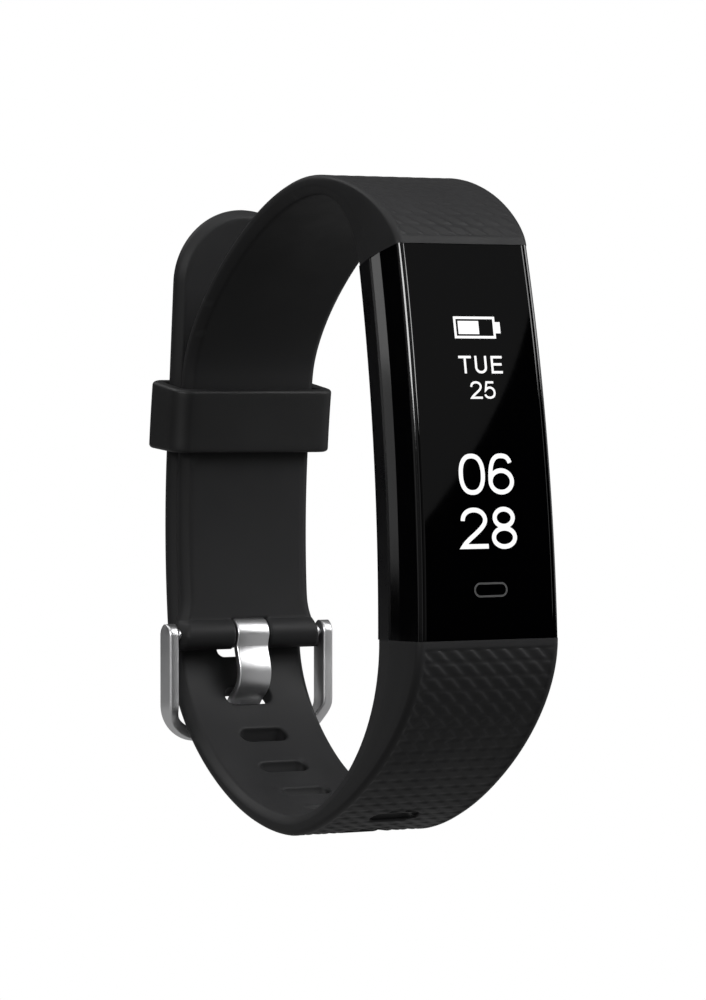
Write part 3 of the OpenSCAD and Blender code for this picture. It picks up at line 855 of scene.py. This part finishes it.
def finish_material(name, colour, roughness, metallic=0.0, spread=0.06, blotch=300, grain=5000, bump=0.02,
                    depth=0.00002, stretch=(1, 1, 1), tone=0.25, specular=0.5, coat=0.0, coat_rough=0.05,
                    painted_edge_highlight=0.0):
    """A finish with uneven roughness and tone, a fine grain in relief and, where asked, a painted highlight:
    a lighter colour on sharp convex edges.
    """
    mat, nodes, links, shader = new_material(name)
    place = nodes.new("ShaderNodeTexCoord")
    scale = set_up(nodes.new("ShaderNodeMapping"), Scale=stretch)
    links.new(place.outputs["Object"], scale.inputs["Vector"])

    def noise(size, detail, vector):
        n = set_up(nodes.new("ShaderNodeTexNoise"), Scale=size, Detail=detail)
        links.new(vector, n.inputs["Vector"])
        return n.outputs["Fac"]
    cloud = noise(blotch, 3, place.outputs["Object"])
    fine = noise(grain, 4, scale.outputs["Vector"])

    def mapped(value, low, high):
        m = set_up(nodes.new("ShaderNodeMapRange"), To_Min=low, To_Max=high, From_Min=0.3, From_Max=0.7)
        links.new(value, m.inputs["Value"])
        return m.outputs["Result"]

    def total(a, b):
        add = nodes.new("ShaderNodeMath")
        links.new(a, add.inputs[0])
        links.new(b, add.inputs[1])
        return add.outputs["Value"]
    rough = total(mapped(cloud, roughness - spread, roughness + spread),
                  mapped(fine, -spread / 2, spread / 2))
    mix = nodes.new("ShaderNodeMix")
    mix.data_type = "RGBA"
    mix.inputs["A"].default_value = [c * (1 - tone) for c in colour] + [1]
    mix.inputs["B"].default_value = [min(c * (1 + tone), 1) for c in colour] + [1]
    links.new(cloud, mix.inputs["Factor"])
    colour_out = mix.outputs["Result"]
    # Painted highlight: the colour turns lighter on sharp convex edges, in place of the light those edges
    # catch
    if painted_edge_highlight:
        edge = nodes.new("ShaderNodeNewGeometry")
        edge_highlight_mask = set_up(nodes.new("ShaderNodeMapRange"), From_Min=0.52, From_Max=0.62, To_Max=painted_edge_highlight)
        links.new(edge.outputs["Pointiness"], edge_highlight_mask.inputs["Value"])
        edge_highlight_mix = nodes.new("ShaderNodeMix")
        edge_highlight_mix.data_type = "RGBA"
        edge_highlight_mix.inputs["B"].default_value = [min(c * 2.2 + 0.01, 1) for c in colour] + [1]
        links.new(edge_highlight_mask.outputs["Result"], edge_highlight_mix.inputs["Factor"])
        links.new(colour_out, edge_highlight_mix.inputs["A"])
        colour_out = edge_highlight_mix.outputs["Result"]
    relief = set_up(nodes.new("ShaderNodeBump"), Strength=bump, Distance=depth)
    links.new(fine, relief.inputs["Height"])
    links.new(colour_out, shader.inputs["Base Color"])
    links.new(rough, shader.inputs["Roughness"])
    links.new(relief.outputs["Normal"], shader.inputs["Normal"])
    set_up(shader, Metallic=metallic, Specular_IOR_Level=specular, Coat_Weight=coat,
           Coat_Roughness=coat_rough)
    return mat


def glow_material(name, colour, strength):
    """A lit part of the display. It isn't sampled as a light, as its thin triangles would upset that."""
    mat, nodes, links, shader = new_material(name)
    set_up(shader, Base_Color=[c * 0.1 for c in colour] + [1], Roughness=0.3, Emission_Strength=strength)
    grid = set_up(nodes.new("ShaderNodeTexNoise"), Scale=4000)
    place = nodes.new("ShaderNodeTexCoord")
    links.new(place.outputs["Object"], grid.inputs["Vector"])
    mix = nodes.new("ShaderNodeMix")
    mix.data_type = "RGBA"
    mix.inputs["A"].default_value = [c * 0.94 for c in colour] + [1]
    mix.inputs["B"].default_value = list(colour) + [1]
    links.new(grid.outputs["Fac"], mix.inputs["Factor"])
    links.new(mix.outputs["Result"], shader.inputs["Emission Color"])
    mat.cycles.emission_sampling = "NONE"
    return mat


# The strap, keeper and cover carry a painted highlight, a lighter colour on their sharp edges
MATERIALS = {
    "strap_rubber": finish_material("tpu_strap", (0.026, 0.026, 0.027), 0.52, spread=0.05, blotch=160,
        grain=9000, bump=0.25, depth=0.000012, tone=0.12, specular=0.2, painted_edge_highlight=0.25),
    "keeper_rubber": finish_material("tpu_keeper", (0.0125, 0.0125, 0.013), 0.5, spread=0.05, blotch=180,
        grain=9000, bump=0.22, depth=0.000012, tone=0.12, specular=0.35, painted_edge_highlight=0.25),
    "housing_gloss": finish_material("housing_gloss_black", (0.002, 0.002, 0.0025), 0.08, spread=0.02,
        blotch=220, grain=2500, bump=0.04, depth=0.00001, tone=0.1, coat=0.5, coat_rough=0.06),
    "lens_glass": finish_material("lens_black_glass", (0.0006, 0.0006, 0.0008), 0.02, spread=0.006,
        blotch=140, grain=1200, bump=0.01, depth=0.000005, tone=0.1),
    "cover_plastic": finish_material("cover_satin_black", (0.006, 0.006, 0.007), 0.3, spread=0.05,
        blotch=200, grain=7000, bump=0.2, depth=0.00001, tone=0.12, specular=0.15, painted_edge_highlight=0.2),
    "steel": finish_material("satin_steel", (0.8, 0.8, 0.81), 0.36, metallic=1.0, spread=0.05, blotch=260,
        grain=2600, stretch=(0.5, 9, 1), bump=0.12, depth=0.00001, tone=0.07),
    "spring_steel": finish_material("spring_steel_wire", (0.5, 0.5, 0.51), 0.32, metallic=1.0, grain=3000,
        bump=0.1, depth=0.00001, tone=0.08),
    "window_tint": finish_material("sensor_window_dark", (0.004, 0.005, 0.005), 0.06, spread=0.02,
        blotch=260, grain=1500, bump=0.02, depth=0.000006, tone=0.15),
    "adhesive": finish_material("adhesive_black", (0.03, 0.03, 0.03), 0.7, bump=0.2),
    "display_black": finish_material("display_panel_black", (0.01, 0.01, 0.014), 0.2, spread=0.03),
    "polyimide": finish_material("polyimide_film", (0.5, 0.22, 0.03), 0.35, spread=0.05, bump=0.1),
    "board_green": finish_material("solder_mask_green", (0.01, 0.09, 0.03), 0.4, spread=0.08, blotch=900,
        bump=0.3),
    "chip_black": finish_material("chip_epoxy", (0.02, 0.02, 0.02), 0.55, bump=0.3),
    "ceramic": finish_material("antenna_ceramic", (0.75, 0.73, 0.66), 0.5, bump=0.2, tone=0.08),
    "cell_foil": finish_material("cell_foil", (0.6, 0.61, 0.63), 0.35, metallic=0.9, spread=0.1,
        blotch=500, bump=0.4, depth=0.00004),
    "foam": finish_material("foam_pad", (0.05, 0.05, 0.055), 0.9, grain=2500, bump=0.8, depth=0.0001),
    "led_green": finish_material("led_resin", (0.25, 0.55, 0.2), 0.2, spread=0.05),
    "gold": finish_material("gold_contact", (0.9, 0.62, 0.26), 0.25, metallic=1.0, spread=0.05, bump=0.1),
    "tungsten": finish_material("tungsten_weight", (0.35, 0.34, 0.33), 0.4, metallic=1.0, spread=0.08,
        bump=0.2),
    "display_lit": glow_material("display_white", (1.0, 1.0, 1.0), 1.0),
    "display_dim": glow_material("display_grey", (1.0, 1.0, 1.0), 0.007),
}


for obj in pieces.values():
    obj.data.materials.clear()
    obj.data.materials.append(MATERIALS[obj["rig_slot"]])
for obj in (pieces["display_readout"], pieces["touch_key_ring"]):
    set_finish(obj, "display_black")
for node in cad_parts.values():
    for slot in node.material_slots:
        slot.material = MATERIALS[slot.material.name.split(".")[0]]

# ---------------------------------------------------------------- floor, light and camera
low = cad_box[0]
floor_mesh = bpy.data.meshes.new("floor")
FLOOR_HALF = 6        # metres
floor_mesh.from_pydata([(x * FLOOR_HALF, y * FLOOR_HALF, low.z)
                        for x, y in ((-1, -1), (1, -1), (1, 1), (-1, 1))], [], [(0, 1, 2, 3)])
floor = bpy.data.objects.new("floor", floor_mesh)
bpy.context.scene.collection.objects.link(floor)


def seen_or_not(nodes, links, seen, other, ray="Is Camera Ray"):
    """Mixes two shaders: one for a kind of ray (what is looked at directly), the other for the rest."""
    path = nodes.new("ShaderNodeLightPath")
    mix = nodes.new("ShaderNodeMixShader")
    links.new(path.outputs[ray], mix.inputs["Fac"])
    links.new(other, mix.inputs[1])
    links.new(seen, mix.inputs[2])
    return mix.outputs["Shader"]


# The floor is white where it is looked at, dim to diffuse rays and fades away in reflections
floor_mat, nodes, links, shader = new_material("floor_pale")
nodes.remove(shader)
glow = set_up(nodes.new("ShaderNodeEmission"), Strength=1.0)
bounce = set_up(nodes.new("ShaderNodeEmission"), Strength=0.06)
spot = nodes.new("ShaderNodeEmission")
spot_place = nodes.new("ShaderNodeNewGeometry")
spot_size = nodes.new("ShaderNodeVectorMath")
spot_size.operation = "LENGTH"
links.new(spot_place.outputs["Position"], spot_size.inputs[0])
spot_fade = set_up(nodes.new("ShaderNodeMapRange"), From_Min=0.12, From_Max=0.5, To_Min=0.3, To_Max=0.0)
links.new(spot_size.outputs["Value"], spot_fade.inputs["Value"])
links.new(spot_fade.outputs["Result"], spot.inputs["Strength"])
indirect = seen_or_not(nodes, links, bounce.outputs["Emission"], spot.outputs["Emission"], "Is Diffuse Ray")
links.new(seen_or_not(nodes, links, glow.outputs["Emission"], indirect),
          nodes["Material Output"].inputs["Surface"])
floor_mat.cycles.emission_sampling = "NONE"
floor_mesh.materials.append(floor_mat)

world = bpy.data.worlds.new("studio")
world.use_nodes = True
world.cycles.sampling_method = "NONE"
bpy.context.scene.world = world
nodes, links = world.node_tree.nodes, world.node_tree.links
WHITE = (1, 1, 1, 1)
backdrop = set_up(nodes["Background"], Color=WHITE, Strength=1.0)
dim = set_up(nodes.new("ShaderNodeBackground"), Color=WHITE, Strength=0.3)
shine = nodes.new("ShaderNodeBackground")
direction = nodes.new("ShaderNodeTexCoord")


def outside(towards, inner, outer):
    """0 within an angle of one direction of the surroundings, 1 beyond a wider angle (degrees)."""
    dot = nodes.new("ShaderNodeVectorMath")
    dot.operation = "DOT_PRODUCT"
    dot.inputs[1].default_value = Vector(towards).normalized()
    links.new(direction.outputs["Generated"], dot.inputs[0])
    fade = set_up(nodes.new("ShaderNodeMapRange"), From_Min=cosd(outer), From_Max=cosd(inner),
                  To_Min=1, To_Max=0)
    fade.interpolation_type = "SMOOTHSTEP"
    links.new(dot.outputs["Value"], fade.inputs["Value"])
    return fade.outputs["Result"]


def times(a, b):
    node = nodes.new("ShaderNodeMath")
    node.operation = "MULTIPLY"
    for value, socket in ((a, node.inputs[0]), (b, node.inputs[1])):
        if isinstance(value, float):
            socket.default_value = value
        else:
            links.new(value, socket)
    return node.outputs["Value"]


SURROUND = 0.12       # brightness of the surroundings in reflections, outside the two dark cards
cards = times(outside((0.53, -0.83, 0.18), 17, 23), outside((-0.375, 0.927, 0), 22, 30))
links.new(times(cards, SURROUND), shine.inputs["Strength"])
indirect = seen_or_not(nodes, links, dim.outputs["Background"], shine.outputs["Background"],
                       "Is Diffuse Ray")
links.new(seen_or_not(nodes, links, backdrop.outputs["Background"], indirect),
          nodes["World Output"].inputs["Surface"])


def softbox(name, place, size, radiance, aim=(0, -15, 0), roll=0):
    """An area light, placed in millimetres and turned to the object, with the brightness of its face."""
    light = bpy.data.lights.new(name, "AREA")
    light.shape = "RECTANGLE"
    light.size, light.size_y = size[0] * MM, size[1] * MM
    light.energy = radiance * math.pi * light.size * light.size_y
    obj = bpy.data.objects.new(name, light)
    bpy.context.scene.collection.objects.link(obj)
    obj.location = Vector(place) * MM
    turned = (Vector(aim) * MM - obj.location).to_track_quat("-Z", "Y")
    obj.rotation_euler = (turned @ Matrix.Rotation(roll, 3, "Z").to_quaternion()).to_euler()
    return obj


def at(azimuth, elevation, distance):
    """A place round the object: azimuth from the front towards the right, in degrees and millimetres."""
    return (distance * sind(azimuth) * cosd(elevation),
            MODULE_MIDDLE[1] - distance * cosd(azimuth) * cosd(elevation),
            MODULE_MIDDLE[2] + distance * sind(elevation))


MODULE_MIDDLE, MODULE_SIDE = (0, -30, 7), (-8, -26, 7)
softbox("top_softbox", (-60, -60, 520), (520, 420), 1.4)
softbox("glass_softbox", at(18.119, 19.849, 1501.85), (800, 1800), 0.17, aim=MODULE_MIDDLE, roll=-0.188)
softbox("side_strip", at(-155.1, 0, 1000), (105, 700), 0.22, aim=MODULE_SIDE)
softbox("side_strip_high", at(-155.1, 14, 1000), (105, 460), 0.4, aim=MODULE_SIDE)
softbox("rim_light", at(-55, 20, 700), (500, 150), 11, aim=(-8, -28, 20)).visible_diffuse = False
softbox("back_card", at(-145, 45, 900), (700, 300), 3)
softbox("key", at(52, 28, 700), (330, 330), 4.8)
softbox("left_fill", at(-100, 5, 700), (300, 600), 0.2)
softbox("right_fill", at(80, 15, 700), (420, 420), 0.8)
softbox("steel_card_high", at(32, 48, 700), (600, 300), 2.5)

scene = bpy.context.scene
scene.view_settings.view_transform = "Standard"
camera_data = bpy.data.cameras.new("camera")
camera = bpy.data.objects.new("camera", camera_data)
scene.collection.objects.link(camera)
scene.camera = camera
camera_data.lens, camera_data.sensor_width, camera_data.sensor_fit = 158.72, 36, "AUTO"
camera_data.clip_start, camera_data.clip_end = 0.02, 40
AZIMUTH, ELEVATION, DISTANCE = -31.488, 0.62, 450
AIM = Vector((0, -31, 6.8)) * MM
TURN_LEFT, TURN_DOWN = 0.03112, 0.01295     # from the aim, as tangents
back_dir = Vector((sind(AZIMUTH) * cosd(ELEVATION), -cosd(AZIMUTH) * cosd(ELEVATION), sind(ELEVATION)))
right_dir = Vector((cosd(AZIMUTH), sind(AZIMUTH), 0))
up_dir = back_dir.cross(right_dir)
camera.location = AIM + back_dir * DISTANCE * MM
# The camera turns a little down and left of the aim, as the object lies in the frame
forward = -back_dir - TURN_LEFT * right_dir - TURN_DOWN * up_dir
forward.normalize()
side_dir = forward.cross(up_dir).normalized()
camera.rotation_mode = "QUATERNION"
axes = Matrix((side_dir, side_dir.cross(forward), -forward)).transposed()
camera.rotation_quaternion = axes.to_quaternion()
